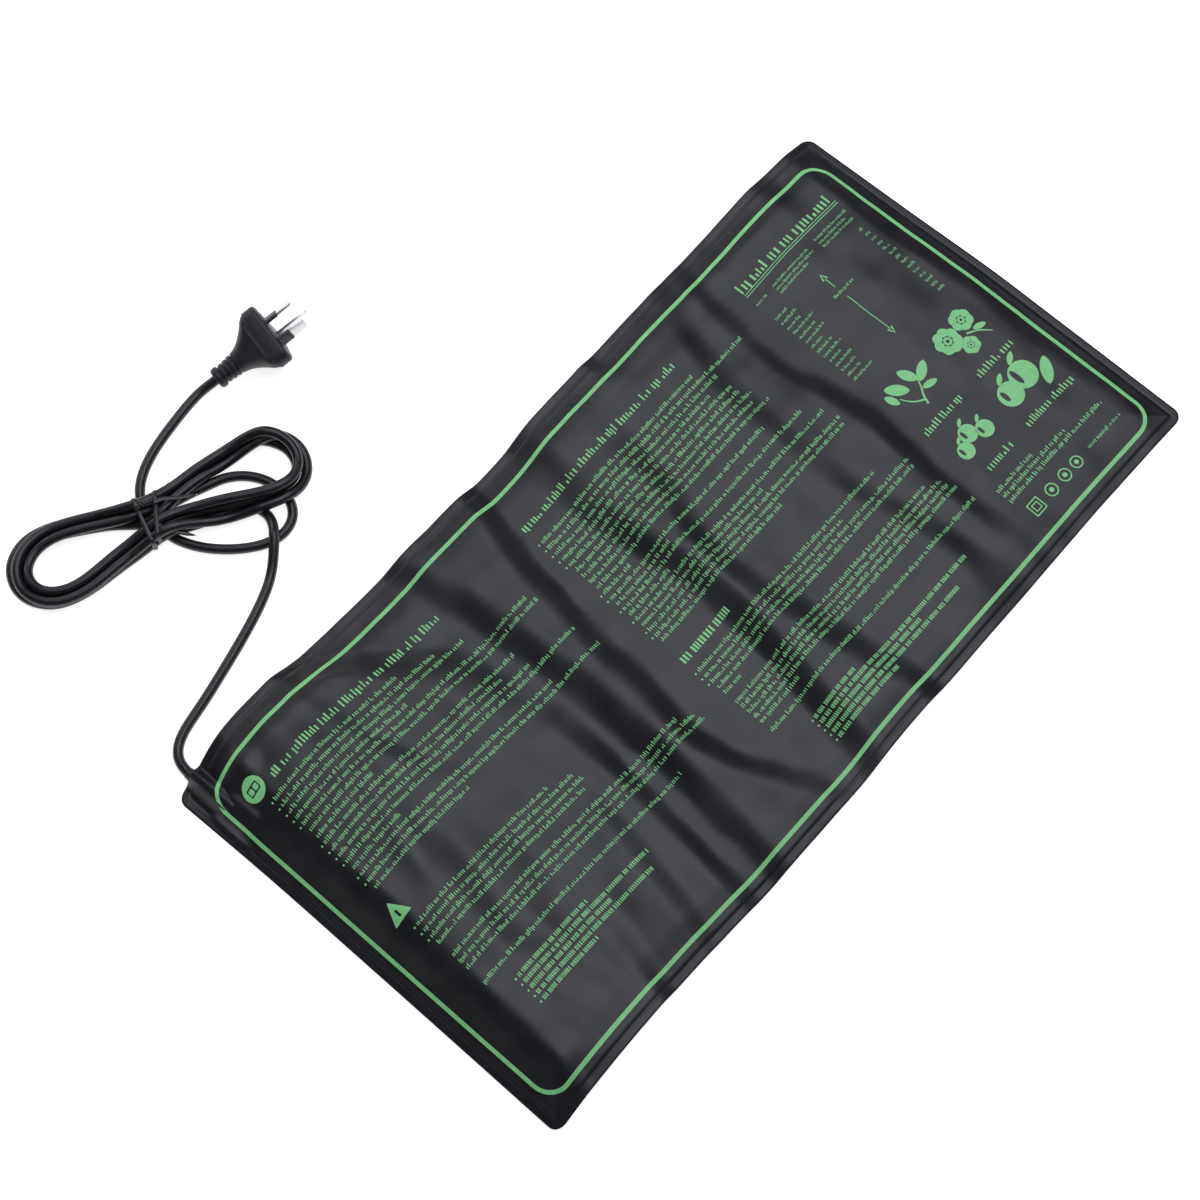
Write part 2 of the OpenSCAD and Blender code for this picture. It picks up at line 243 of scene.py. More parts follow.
def facing_x(x, outline):
    """A flat outline stood up across X, at that x."""
    return np.column_stack([np.full(len(outline), x), outline[:, :2]])


def frames_along(path):
    """Tangent, side and up vectors that turn as little as they can along the path."""
    path = np.asarray(path, float)
    tangent = unit(np.gradient(path, axis=0))
    side = np.zeros_like(path)
    start = np.cross(tangent[0], (0, 0, 1))
    side[0] = unit(start if np.linalg.norm(start) > 0.1 else np.cross(tangent[0], (0, 1, 0)))
    for i in range(1, len(path)):
        s = side[i - 1] - tangent[i] * np.dot(side[i - 1], tangent[i])
        side[i] = unit(s)
    return tangent, side, np.cross(side, tangent)


def sweep(path, across, high, sides=12):
    """An oval tube along a path: across and high are its half-measures, numbers or one per point."""
    path = np.asarray(path, float)
    _, side, up = frames_along(path)
    c, d = around(sides).T
    across = np.broadcast_to(across, len(path))
    high = np.broadcast_to(high, len(path))
    rings = [p + np.outer(c * w, s) + np.outer(d * h, u)
             for p, s, u, w, h in zip(path, side, up, across, high)]
    return loft(rings, flip=True)


def curve_through(points, spacing):
    """A smooth line through the points (a centripetal Catmull-Rom spline) at an even spacing."""
    p = np.asarray(points, float)
    p = np.vstack([2 * p[0] - p[1], p, 2 * p[-1] - p[-2]])
    out = []
    for i in range(1, len(p) - 2):
        knots = np.cumsum([0] + [np.linalg.norm(p[i + k] - p[i + k - 1]) ** 0.5 for k in range(3)])
        t = np.linspace(knots[1], knots[2], 24, endpoint=False)[:, None]
        a = [((knots[k + 1] - t) * p[i - 1 + k] + (t - knots[k]) * p[i + k]) / (knots[k + 1] - knots[k])
             for k in range(3)]
        b = [((knots[k + 2] - t) * a[k] + (t - knots[k]) * a[k + 1]) / (knots[k + 2] - knots[k])
             for k in range(2)]
        out.append(((knots[2] - t) * b[0] + (t - knots[1]) * b[1]) / (knots[2] - knots[1]))
    line = np.vstack(out + [p[-2:-1]])
    return evenly(line, spacing)


def evenly(rows, spacing, places=3):
    """Rows at an even spacing along the line that their first numbers, up to so many, make."""
    along = np.concatenate([[0], np.cumsum(np.linalg.norm(np.diff(rows[:, :places], axis=0), axis=1))])
    stops = np.linspace(0, along[-1], max(2, round(along[-1] / spacing) + 1))
    return np.column_stack([np.interp(stops, along, column) for column in rows.T])


# ======== the mat's surface, in millimetres

MAT_L, MAT_W = 504, 260
CUT_L = 520
CORNER = 6
SHEET_T = 0.6
WELD_LINE = 4.3  # from the rim to the weld's groove
EDGE_FILL, FULL_FILL = 0.5, 2.15  # how far the layers hold the sheets apart, in two steps
STACK_X0, STACK_X1, STACK_Y = -228, 238, 117
ENTRY_X, BLOCK_Y = -240, 96  # where the cord comes in, and its junction block
BUS_Y, TERMINAL_X = 109, -222

# The places across the mat at which the folds are given, from the +Y edge to the -Y edge
ACROSS = (130, 65, 0, -65, -130)
# Each fold is a band where the sheet rises or falls: its middle x, its rise and its width at those
# places. They were set render after render, until they shade like the photo's folds.
FOLDS = [
    ((-232, -238, -237, -239, -243), (12.5, 14.5, 16, 14, 12.5), 36),   # the raised end
    ((-193, -181, -189, -192, -184), (-1.8, -2.4, -6.4, -4.8, -0.8), (18, 18, 27, 26, 22)),
    ((-173, -167, -146, -156, -166), (-2.0, -2.6, -1.8, -1.6, -5.2), (16, 13, 22, 20, 15)),
    ((-167, -112, -112, -121, -134), (-6.4, -6.4, -1.2, -3.0, -2.8), (26, 32, 17, 16, 17)),
    (-155, (-0.6, -1.6, -1.2, 0.4, 0.4), 100),
    ((-120, -103, -95, -97, -105), (0.2, -1.2, -5.2, -5.2, -4.0), (18, 22, 20, 17, 15)),
    ((-91, -79, -76, -78, -85), (4.6, 5.4, 5.4, 5.2, 4.6), (19, 23, 21, 21, 20)),
    ((-70, -60, -60, -60, -58), (-1.6, 0.3, 0.3, 0.2, -0.5), 16),
    ((-32, -44, -54, -55, -28), (-5.8, -6.8, -5.6, -5.4, -2.0), (21, 23, 21, 18, 20)),
    ((-22, -20, -20, -20, -20), (0.6, 0.6, 0.3, 0, -1.0), 40),
    ((6, 2, 9, 1, -9), (7.0, 5.8, 6.4, 7.0, 6.2), (31, 24, 22, 22, 25)),
    ((38, 40, 24, 32, 41), (-1.0, -3.0, -4.0, -5.2, -4.6), (18, 22, 17, 23, 20)),
    ((63, 78, 80, 84, 86), (-3.0, -0.2, 0, 0, -1.4), (14, 30, 30, 30, 18)),
    ((72, 72, 70, 72, 68), (3.0, 2.9, 3.1, 4.0, 3.6), (50, 50, 54, 54, 54)),
    ((124, 103, 98, 109, 112), (-2.6, -2.9, -2.2, -3.0, -2.9), (24, 19, 19, 18, 25)),
    ((138, 132, 138, 136, 134), (-2.8, -2.7, -3.3, -3.2, -1.4), (17, 17, 17, 16, 16)),
    ((160, 157, 157, 157, 157), (-1.0, 0.1, 0, -0.5, -0.6), 16),
    ((178, 175, 175, 175, 175), (6.6, 4.2, 1.4, 1.0, 1.0), 60),
    ((209, 212, 205, 205, 205), (-1.6, -0.2, 0.2, 0.1, 0.1), 18),
    ((241, 239, 240, 241, 240), (-4.6, -4.0, -0.9, -0.4, -0.4), (26, 24, 17, 15, 15)),
]


def smooth(t):
    t = np.clip(t, 0, 1)
    return t * t * (3 - 2 * t)


def across(values, y):
    """A smooth line through values that are given at the places in ACROSS."""
    v = np.broadcast_to(values, len(ACROSS)).astype(float)
    t = np.clip((ACROSS[0] - np.asarray(y, float)) / (ACROSS[0] - ACROSS[1]), 0, len(v) - 1.0001)
    i = t.astype(int)
    t = t - i
    v = np.concatenate([[2 * v[0] - v[1]], v, [2 * v[-1] - v[-2]]])
    a, b, c, d = v[i], v[i + 1], v[i + 2], v[i + 3]
    return b + 0.5 * t * (c - a + t * (2 * a - 5 * b + 4 * c - d + t * (3 * (b - c) + d - a)))


def ripple(x, y):
    """Small uneven waves all over the sheet."""
    waves = [(0.011, 0.004, 0.3, 0.5), (0.021, -0.009, 1.9, 0.3), (0.006, 0.033, 4.0, 0.2),
             (0.037, 0.012, 2.2, 0.13), (0.003, 0.061, 0.7, 0.09), (0.052, -0.021, 5.1, 0.07)]
    return sum(h * np.sin(2 * pi * (fx * x + fy * y) + p) for fx, fy, p, h in waves)


def fold_height(x, y):
    """How high the folded mat's underside stands."""
    x, y = np.broadcast_arrays(np.asarray(x, float), np.asarray(y, float))
    h = sum(across(rise, y) * smooth((x - across(middle, y)) / across(width, y) + 0.5)
            for middle, rise, width in FOLDS)
    h = h + ripple(x, y) * smooth((x + 250) / 30) * smooth((252 - x) / 20)
    return 0.5 * (h + np.sqrt(h * h + 0.3))


def edge_distance(x, y):
    """How far inside the mat's rounded outline a point is."""
    dx, dy = np.abs(x) - (MAT_L / 2 - CORNER), np.abs(y) - (MAT_W / 2 - CORNER)
    outside = np.hypot(np.maximum(dx, 0), np.maximum(dy, 0))
    return CORNER - outside - np.minimum(np.maximum(dx, dy), 0)


def bump(x, y, at, reach):
    """1 at a place, falling to 0 at its reach in x and in y."""
    return 1 - smooth(np.hypot((x - at[0]) / reach[0], (y - at[1]) / reach[1]))


def top_height(x, y):
    """How high the top sheet's upper face stands above the folded underside."""
    d = edge_distance(x, y)
    lying = (2 * SHEET_T + EDGE_FILL * smooth((d - WELD_LINE) / 2.4)
             + FULL_FILL * smooth((d - WELD_LINE) / 19))
    rim = 0.35 * np.sqrt(np.clip(1 - d / 0.7, 0, 1))
    groove = 0.3 * np.exp(-((d - WELD_LINE) / 0.42) ** 2)
    terminals = sum(bump(x, y, (TERMINAL_X - 1, side * BUS_Y), (15, 13)) for side in (-1, 1))
    beside = np.abs(x - ENTRY_X)
    block = (1 - smooth((beside - 3.6) / 6.5)) * (1 - smooth((np.abs(y - BLOCK_Y) - 6) / 11))
    cord = (1 - smooth((beside - 0.8) / 5.8)) * smooth((y - 94) / 9)
    raised = np.maximum((5.95 - lying) * block, (7.05 - lying) * cord)
    return lying - (rim + groove) * (1 - cord) + np.hypot(1.5 * terminals, raised)


# How far the long edges of the lying mat stray from straight, at even steps from the -X to the +X
# end: first guesses, corrected by how far a render's outline stood from the photo's at each step
TOP_EDGE = [-1.4, 4.2, 5.1, 1.7, 0.5, 0.6, -1.2, 0.5, 0.4, 0.2, 1.0, 1.6, 0.3, -1.7]
LOW_EDGE = [2.0, 3.3, 4.0, 3.1, 1.3, 0.8, 0.4, 1.8, 0.9, 0.7, 1.0, 1.1, 0.4, -0.8]
# How far the two ends stray along X, at the places in ACROSS, found the same way
LEFT_END = (-1.9, -0.6, -0.5, -0.6, -0.9)
RIGHT_END = (-3.0, -1.9, -1.0, -1.1, -2.3)


def stray_y(x, y):
    """How far a point of the lying mat is moved along Y."""
    at = np.linspace(-MAT_L / 2, MAT_L / 2, len(TOP_EDGE))
    fine = np.linspace(-MAT_L / 2, MAT_L / 2, 400)
    soft = np.hanning(41) / np.hanning(41).sum()
    lines = [np.convolve(np.pad(np.interp(fine, at, edge), 20, "edge"), soft, "valid")
             for edge in (LOW_EDGE, TOP_EDGE)]
    low, top = (np.interp(x, fine, line) for line in lines)
    return low + (top - low) * (np.asarray(y) + MAT_W / 2) / MAT_W


def stray_x(x, y):
    """How far a point of the lying mat is moved along X."""
    return across(LEFT_END, y) * smooth((-244 - x) / 8) + across(RIGHT_END, y) * smooth((x - 150) / 100)


def lay(x, y, z):
    """A point of the flat stack, z above its underside, as it lies in the folded mat."""
    x, y, z = (np.asarray(v, float) for v in (x, y, z))
    return np.stack(np.broadcast_arrays(x + stray_x(x, y), y + stray_y(x, y), fold_height(x, y) + z),
                    axis=-1)


def cut_to_lying():
    """The lying x at each length along the cut sheet: folds take up some of its length."""
    x = np.linspace(-MAT_L / 2, MAT_L / 2, 2000)
    h = np.mean([fold_height(x, np.full_like(x, y)) for y in (-100, -50, 0, 50, 100)], axis=0)
    length = np.concatenate([[0], np.cumsum(np.hypot(np.diff(x), np.diff(h)))])
    return (length / length[-1] - 0.5) * CUT_L, x


CUT_U, LYING_X = cut_to_lying()


def between_sheets(x, y, z):
    """The height of something in the flat stack, pressed down where the sheets close on it."""
    return SHEET_T + (z - SHEET_T) * (top_height(x, y) - 2 * SHEET_T) / (EDGE_FILL + FULL_FILL)


def print_at(u, v, proud):
    """A point of the print: u and v on the flat cut sheet, proud of its face."""
    x = np.interp(u, CUT_U, LYING_X)
    return lay(x, v, top_height(x, v) + proud)


# ======== the two welded sheets

def fine_stops(half, step, edge_step, band=13):
    """Grid lines from -half to half, closer together in a band at both ends."""
    inner = np.linspace(-half + band, half - band, round(2 * (half - band) / step) + 1)
    rim = np.concatenate([[0, 0.12, 0.35, 0.7], np.arange(1.2, band, edge_step)])
    return np.concatenate([-half + rim, inner, (half - rim)[::-1]])


def rounded_grid(xs, ys):
    """Grid points over the mat, drawn in at its corners to its rounded outline."""
    x, y = np.meshgrid(xs, ys, indexing="ij")
    a = np.clip(np.abs(x) - (MAT_L / 2 - CORNER), 0, None)
    b = np.clip(np.abs(y) - (MAT_W / 2 - CORNER), 0, None)
    long = np.hypot(a, b)
    scale = np.where(long > 0, np.maximum(a, b) / np.maximum(long, 1e-9), 1)
    return x - np.sign(x) * a * (1 - scale), y - np.sign(y) * b * (1 - scale)


def closed_sheet(x, y, low, high):
    """A sheet between two heights over a grid, closed round its rim."""
    rows, cols = x.shape
    points = np.concatenate([lay(x, y, high).reshape(-1, 3), lay(x, y, low).reshape(-1, 3)])
    n = rows * cols
    faces = grid_faces(rows, cols, flip=True) + grid_faces(rows, cols, start=n)
    rim = ([(i, 0) for i in range(rows)] + [(rows - 1, j) for j in range(1, cols)]
           + [(i, cols - 1) for i in range(rows - 2, -1, -1)] + [(0, j) for j in range(cols - 2, 0, -1)])
    ids = [i * cols + j for i, j in rim]
    faces += [(a, b, b + n, a + n) for a, b in zip(ids, ids[1:] + ids[:1])]
    return points, faces


def make_sheets():
    """Both sheets; the top one's grid is finer at its ends and over the cord's entry."""
    stops = np.union1d(fine_stops(MAT_W / 2, 2.4, 0.55), np.arange(76.2, 117, 1.2))
    x, y = rounded_grid(fine_stops(MAT_L / 2, 1.3, 0.5, 23), stops)
    high = top_height(x, y)
    d = edge_distance(x, y)
    low = SHEET_T + np.maximum(high - 2 * SHEET_T, 0) * smooth(d / 0.5)
    top = piece("pvc_top_sheet", *closed_sheet(x, y, low, high), PVC, "pvc_sheet", ["top_sheet"])
    x, y = rounded_grid(fine_stops(MAT_L / 2, 2.6, 1.6), fine_stops(MAT_W / 2, 5, 1.6))
    rim = 0.25 * np.clip(1 - edge_distance(x, y) / 0.4, 0, 1) ** 2
    bottom = piece("pvc_bottom_sheet", *closed_sheet(x, y, rim, SHEET_T + 0 * x), PVC, "pvc_sheet",
                   ["bottom_sheet"])


# ======== the green print

PROUD, ROOT = 0.09, -0.05  # the ink's two faces, above the sheet's


def ink_slabs(quads):
    """Thin slabs of ink over many small four-cornered outlines on the cut sheet."""
    quads = np.asarray(quads, float)
    count = len(quads)
    flat = quads.reshape(-1, 2)
    layers = [print_at(flat[:, 0], flat[:, 1], z).reshape(count, 4, 3) for z in (PROUD, ROOT)]
    points = np.concatenate(layers, axis=1).reshape(-1, 3)
    one = [(0, 1, 2, 3), (7, 6, 5, 4), (0, 4, 5, 1), (1, 5, 6, 2), (2, 6, 7, 3), (3, 7, 4, 0)]
    faces = [tuple(8 * i + k for k in face) for i in range(count) for face in one]
    return points, faces


def ink_rings(rings, filled=True):
    """A thin slab of ink over rings of points on the cut sheet, from the inside outwards."""
    rings = np.asarray(rings, float)
    n = rings.shape[1]
    flat = rings.reshape(-1, 2)
    points = np.vstack([print_at(flat[:, 0], flat[:, 1], z) for z in (PROUD, ROOT)])
    m = len(flat)
    faces = grid_faces(len(rings), n, wrap=True, flip=True)
    faces += grid_faces(len(rings), n, start=m, wrap=True)
    outer = [m - n + k for k in range(n)]
    faces += [(a, a + m, b + m, b) for a, b in zip(outer, outer[1:] + outer[:1])]
    inner = list(range(n))
    if filled:
        faces += [tuple(inner), tuple(k + m for k in inner[::-1])]
    else:
        faces += [(b, b + m, a + m, a) for a, b in zip(inner, inner[1:] + inner[:1])]
    return points, faces


def turned_round(points, angle):
    """Flat points turned about the origin."""
    c, s = cos(angle), sin(angle)
    return np.asarray(points, float) @ np.array([[c, s], [-s, c]])


def polygon(distances, turn=0.0, n=48, sharp=16):
    """A rounded polygon's outline: how far each side lies from the middle, the first one at that turn."""
    a = np.linspace(0, 2 * pi, n, endpoint=False)
    sides = turn + 2 * pi * np.arange(len(distances)) / len(distances)
    reach = np.maximum(np.cos(a[:, None] - sides), 0) / np.array(distances, float)
    return around(n) / (reach ** sharp).sum(axis=1)[:, None] ** (1 / sharp)


def blob(at, outline):
    """A filled shape whose outline can be seen whole from its middle."""
    outline = np.asarray(outline, float)
    return ink_rings([np.array(at) + outline * k for k in np.linspace(0.15, 1, 4)])


def ring(at, inner, outer):
    """A shape with a hole: two outlines of equally many points round one middle."""
    inner, outer = np.asarray(inner, float), np.asarray(outer, float)
    return ink_rings([np.array(at) + inner + (outer - inner) * k for k in np.linspace(0, 1, 5)],
                     filled=False)


def leaf(length, width, angle):
    """A pointed leaf's outline about its middle."""
    x, y = around(28).T
    y = y * np.abs(y) ** 0.35
    return turned_round(np.column_stack([0.5 * length * x, 0.5 * width * y]), angle)


def stroke(points, width, spacing=1.5):
    """Quads along a line on the cut sheet; width may taper."""
    line = curve_through([(x, y, 0) for x, y in points], spacing)[:, :2]
    heading = unit(np.gradient(line, axis=0))
    side = np.column_stack([-heading[:, 1], heading[:, 0]])
    half = np.linspace(*np.broadcast_to(width, 2), len(line))[:, None] / 2
    a, b = line + side * half, line - side * half
    return [(b[i], b[i + 1], a[i + 1], a[i]) for i in range(len(line) - 1)]


def rounded_frame(x0, x1, y0, y1, r):
    """Points round a rounded rectangle, with their outward directions."""
    points, out = [], []
    for k, (cx, cy) in enumerate([(x1 - r, y1 - r), (x0 + r, y1 - r), (x0 + r, y0 + r), (x1 - r, y0 + r)]):
        for a in np.linspace(0, pi / 2, 12) + k * pi / 2:
            out.append((cos(a), sin(a)))
            points.append((cx + r * out[-1][0], cy + r * out[-1][1]))
    both = np.column_stack([np.vstack([points, points[:1]]), np.vstack([out, out[:1]])])
    return np.hsplit(evenly(both, 1.2, places=2)[:-1], 2)


def greeked(rng, u, v, length, high=1.8, bold=False):
    """A row that stands for a line of small print: word-long groups of upright bars, no letters."""
    bars, end, low = [], u + length, v - high / 2
    while u < end:
        for _ in range(rng.integers(2, 11)):
            kind = rng.random()
            foot = -0.3 * high if kind > 0.93 else 0
            top = high * (1.42 if kind < 0.24 else 0.55 if kind < 0.34 else 1)
            wide = high * rng.uniform(0.22, 0.34)
            gap = high * rng.uniform(0.24, 0.52)
            if bold:
                foot, top, wide, gap = 0, 1.3 * high, 1.25 * wide, 0.75 * gap
            bars.append([(u, low + foot), (u + wide, low + foot), (u + wide, low + top),
                         (u, low + top)])
            u += wide + gap
            if u >= end:
                break
        u += high * 0.48
    return bars


def dot(u, v, size):
    """A square bullet."""
    return [(u - size, v - size), (u + size, v - size), (u + size, v + size), (u - size, v + size)]


def paragraph(rng, u, v, pitch, lengths, marked=(), bold=False, high=1.8):
    """Rows of greeked print under each other, some with a bullet in front."""
    bars = []
    for i, length in enumerate(lengths):
        bars += greeked(rng, u, v - i * pitch, length, high, bold)
        if i in marked:
            bars.append(dot(u - 2.2, v - i * pitch, 0.5))
    return bars


def print_left(rng):
    """A heading, a plain page sign, four blocks of rows and a warning triangle."""
    bars = greeked(rng, -218.5, 92.6, 122, 3.3)
    bars += paragraph(rng, -227, 84, 4.92, [90, 113, 129, 82, 169, 172, 44, 142, 126, 143, 173, 36, 144,
                                            176, 71], marked=(0, 1, 2, 3, 4, 7, 8, 9, 10, 12, 13))
    bars += paragraph(rng, -227, -13, 4.7, [97, 111, 115, 110], marked=(0, 1, 2))
    bars += paragraph(rng, -227, -36.8, 4.7, [170, 180, 181])
    bars += greeked(rng, -227, -57.3, 150)
    bars += paragraph(rng, -213, -68.2, 4.1, [52, 92, 61, 87, 41], marked=range(5), bold=True)
    shapes = [ink_slabs(bars)]
    at, page = np.array((-230.3, 96.6)), polygon((1.45, 1.7, 1.45, 1.7), n=24)
    shapes.append(ring(at, polygon((3.9, 2.5, 3.9, 2.5)), around(48) * 6.8))
    shapes += [blob(at + (1.85 * side, 0), page) for side in (-1, 1)]
    at = np.array((-229.3, -1.8))
    mark, triangle = polygon((0.75, 2.1, 0.75, 2.1), sharp=5), polygon((3.9, 3.9, 3.9), -pi / 2)
    shapes.append(ring(at, mark, triangle))
    return join(shapes)


def print_middle(rng):
    """Two headings and four blocks of rows."""
    bars = greeked(rng, -29.2, 92.2, 126, 3.3)
    bars += paragraph(rng, -27.7, 80.4, 4.82, [126, 162, 135, 123, 136, 136, 140, 136, 144, 21],
                      marked=(0, 1, 2, 3, 4, 9))
    bars += paragraph(rng, -27.7, 32.4, 4.38, [127, 45, 149, 32, 157, 100, 161, 158, 100],
                      marked=(0, 2, 4, 6, 7))
    bars += greeked(rng, -29.3, -18.6, 37.4, 3.3, bold=True)
    bars += paragraph(rng, -27.8, -27.8, 4.45, [148, 114, 165, 164, 12], marked=(0, 1, 2))
    bars += paragraph(rng, -27.8, -53.2, 4.15, [158, 167, 168, 171, 31])
    bars += greeked(rng, -27.8, -76.9, 172)
    bars += paragraph(rng, -7.5, -89.7, 3.98, [33, 121, 79, 105, 50], marked=range(5), bold=True)
    return join([ink_slabs(bars)])


def sprout(at):
    """Two stems with four leaves."""
    at = np.array(at)
    quads = stroke([at + p for p in ((-4, -12), (-2, -7), (1, -3), (3, 1))], (1.3, 0.7))
    quads += stroke([at + p for p in ((-3, -9.5), (-8, -6), (-11, -2), (-12.5, 1))], (1.1, 0.6))
    leaves = [((-9.5, 5.5), 14, 6.6, 2.3), ((-16, 3.5), 9, 4.4, 1.9), ((1, 6.6), 12, 6, 1.95),
              ((8.5, 2.6), 12.5, 5.8, 0.55), ((5.6, -5.4), 9.5, 4, -0.25)]
    return [ink_slabs(quads)] + [blob(at + p, leaf(l, w, a)) for p, l, w, a in leaves]


def blossom(at, petals, size):
    """A ring of petals round an open middle."""
    at = np.array(at)
    made = [ring(at, around(20) * 0.06 * size, around(20) * 0.15 * size)]
    for k in range(petals):
        a = 2 * pi * k / petals + 0.3
        middle = at + 0.33 * size * np.array([cos(a), sin(a)])
        made.append(blob(middle, leaf(0.33 * size, 0.46 * size * sin(pi / petals) * 2, a)))
    return made


def round_fruit(at, size, cut=0.24):
    """A round fruit with an open crescent of shine and a leaf."""
    disc = around(32)
    hole = disc * (0.10, cut) * size + np.array([-0.22, 0.08]) * size
    stalk = np.array(at) + (0.16 * size, 0.66 * size)
    return [ring(at, hole, disc * 0.5 * size), blob(stalk, leaf(0.5 * size, 0.2 * size, 0.6))]


def print_right(rng):
    """A title over a size chart, then plants with their captions and a row of plain symbols."""
    bars = greeked(rng, 156.2, 93.6, 79, 4.4)
    for v in (90.0, 88.5):
        bars += stroke([(156.2, v), (235, v)], 0.45, 3)
    bars += greeked(rng, 156.2, 81.4, 8, 1.3)
    bars += paragraph(rng, 170.3, 81.6, 2.9, [30, 31, 24], high=1.2)
    bars += paragraph(rng, 207.6, 82.2, 3.1, [26, 22, 25], high=1.2)
    bars += paragraph(rng, 156.2, 68.1, 4.2, [9, 12, 10, 16, 13, 15, 9, 12, 14, 9, 13, 11, 10, 15],
                      high=1.2)
    bars += paragraph(rng, 228.9, 68, 4.2, [2, 4, 4, 4, 4, 5, 4, 5, 5, 4, 4, 5, 4, 5], high=1.2)
    for v0, v1 in ((63, 55.8), (47.4, 17.4)):
        bars += stroke([(192.5, v0), (192.5, v1)], 0.5, 2)
    bars += greeked(rng, 187, 51.6, 15.5, 1.4)
    for tip, way in ((66.4, -1), (14.2, 1)):
        for side in (-1, 1):
            bars += stroke([(192.5, tip), (192.5 + 1.5 * side, tip + 4 * way)], (0.3, 1.0), 1)
    for u, v, length in ((156.6, -35.4, 31.6), (202.8, -35.2, 26.8), (163, -72.8, 19.6),
                         (197.5, -72.6, 38)):
        bars += greeked(rng, u, v, length, 3.1)
    bars += paragraph(rng, 155.4, -84.3, 4.2, [29, 53, 80], high=1.9)
    bars += greeked(rng, 209, -104.6, 26.6, 1.6)
    shapes = [ink_slabs(bars)] + sprout((176, -13))
    for at, petals, size in (((207.5, -10), 7, 17), ((222.5, -7), 6, 14), ((214.5, -20.5), 6, 11)):
        shapes += blossom(at, petals, size)
    shapes.append(ink_slabs(stroke([(218, -14.5), (224, -18), (229, -23.5)], (1.2, 0.6))))
    shapes += [blob((226.5, -16.5), leaf(8, 3.6, -0.3))]
    for at, size in (((163.5, -57.2), 10), ((172, -51.6), 11), ((180.6, -56.6), 10.5)):
        shapes += round_fruit(at, size)
    shapes += round_fruit((206, -54.5), 15)
    shapes += round_fruit((219.5, -52), 17, 0.3)
    shapes.append(blob((230.5, -59.5), leaf(17, 7, 0.9)))
    square = polygon((1, 1, 1, 1), n=40, sharp=40)
    shapes += [ring((162.6, -104.8), square * a, square * b) for a, b in ((3.6, 4.3), (1.7, 2.3))]
    for u, size in ((175.8, 3.9), (187.4, 3.9), (197.6, 3.7)):
        shapes.append(ring((u, -104.9), around(36) * (size - 0.75), around(36) * size))
        shapes.append(blob((u, -104.9), around(18) * 0.36 * size))
    return join(shapes)


def make_print():
    """The green frame and the three columns of print, kept clear of real words and marks."""
    rng = np.random.default_rng(11)
    line, out = rounded_frame(-250.3, 247.8, -119.4, 115.2, 13)
    frame_line = ink_rings([line + out * k for k in (-1.15, -0.4, 0.4, 1.15)], filled=False)
    piece("print_frame_line", *frame_line, INK, "green_ink", ["printed_border"], smooth=False)
    for name, column in (("left", print_left), ("middle", print_middle), ("right", print_right)):
        piece(f"print_{name}_column", *column(rng), INK, "green_ink", smooth=False)


# ======== the heater between the sheets

# Heights of the layers in the flat stack, from its underside
FOAM_Z, BASE_Z, INK_Z, COVER_Z = (0.62, 2.5), (2.52, 2.72), (2.74, 2.86), (2.9, 3.08)
FILM_Y = 116


def slab(x0, x1, y0, y1, z0, z1):
    """A layer between the sheets, pressed down where they close on it."""
    x, y = np.meshgrid(np.linspace(x0, x1, max(2, round((x1 - x0) / 2.6) + 1)),
                       np.linspace(y0, y1, max(2, round((y1 - y0) / 5) + 1)), indexing="ij")
    return closed_sheet(x, y, between_sheets(x, y, z0), between_sheets(x, y, z1))


def make_heater():
    """The foam, and the heater on it: a film, carbon strips with two bus bars, and a film."""
    foam = piece("foam_layer", *slab(STACK_X0, STACK_X1 + 1, -STACK_Y, STACK_Y, *FOAM_Z), FOAM,
                 "foam", ["insulation_foam"])
    piece("film_under_heater", *slab(STACK_X0, STACK_X1, -FILM_Y, FILM_Y, *BASE_Z), BASE_FILM,
          "heater_film", ["heater_base_film"])
    first, count, width = -206, 24, 12
    pitch = (STACK_X1 - 8 - width - first) / (count - 1)
    strips = [slab(first + i * pitch, first + i * pitch + width, -105, 105, *INK_Z)
              for i in range(count)]
    piece("carbon_heating_strips", *join(strips), CARBON, "carbon_ink", ["carbon_strips"])
    bars = [slab(STACK_X0 + 1, STACK_X1 - 4, s * BUS_Y - 4, s * BUS_Y + 4, INK_Z[0], INK_Z[1] + 0.01)
            for s in (-1, 1)]
    piece("copper_bus_bars", *join(bars), COPPER, "copper_foil", ["bus_bars"])
    piece("film_over_heater", *slab(-214, STACK_X1, -FILM_Y, FILM_Y, *COVER_Z), COVER_FILM,
          "heater_film", ["heater_cover_film"])


def turned(profile, at):
    """A closed turned part: (radius, height) pairs round an upright axis."""
    disc = around(24)
    return loft([np.column_stack([at[:2] + r * disc, np.full(len(disc), at[2] + z)]) for r, z in profile])


